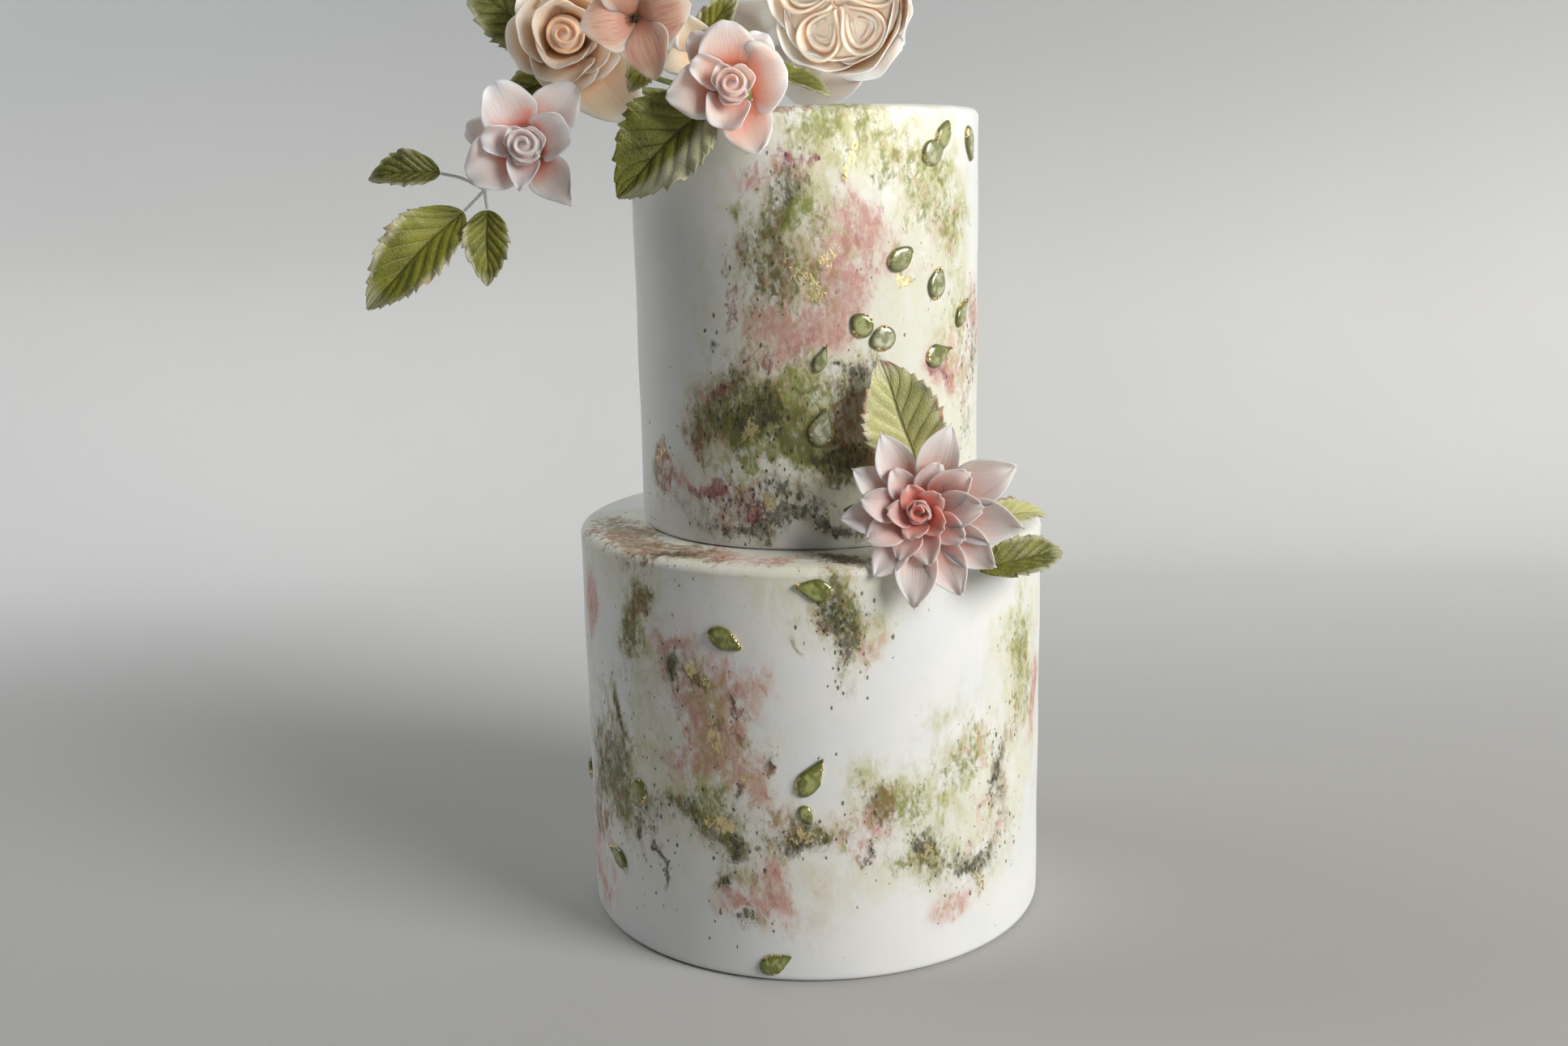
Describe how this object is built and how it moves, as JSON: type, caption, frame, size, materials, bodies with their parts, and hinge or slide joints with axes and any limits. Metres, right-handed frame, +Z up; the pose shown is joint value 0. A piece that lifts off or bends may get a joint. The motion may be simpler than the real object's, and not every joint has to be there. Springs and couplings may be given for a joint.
{
  "type": "tiered wedding cake",
  "caption": "White iced wedding cake, a smaller tier on a larger one, painted with green and pink washes, with jelly drops, sugar roses, a dahlia and leaves.",
  "frame": {"origin": "middle of the underside of the lower tier", "axes": "+Z up, front of the cake with the flowers towards -Y"},
  "size_m": [0.259, 0.1952, 0.3969],
  "materials": {
    "icing": "satin",
    "peach_sugar": "matte",
    "pink_sugar": "matte",
    "dusty_sugar": "matte",
    "leaf_sugar": "satin",
    "stem_tape": "matte",
    "white_wire": "satin"
  },
  "bodies": {
    "root": {"lower_tier": "icing", "upper_tier": "icing", "garden_rose": "peach_sugar", "peach_rose": "peach_sugar", "pink_rose_left": "pink_sugar", "pink_rose_right": "pink_sugar", "dahlia": "pink_sugar", "blossom_large": "dusty_sugar", "blossom_small": "dusty_sugar", "leaf_front": "leaf_sugar", "leaf_top_left": "leaf_sugar", "leaf_behind_left": "leaf_sugar", "leaf_below_blossom": "leaf_sugar", "leaf_beside_blossom": "leaf_sugar", "leaf_under_rose": "leaf_sugar", "leaf_wired_left": "leaf_sugar", "leaf_wired_large": "leaf_sugar", "leaf_wired_small": "leaf_sugar", "leaf_dahlia_up": "leaf_sugar", "leaf_dahlia_right": "leaf_sugar", "leaf_dahlia_back": "leaf_sugar", "leaf_dahlia_left": "leaf_sugar", "leaf_back_right": "leaf_sugar", "leaf_back_left": "leaf_sugar", "stems": "stem_tape", "leaf_wires": "white_wire", "dahlia_stem": "stem_tape"}
  },
  "joints": []
}
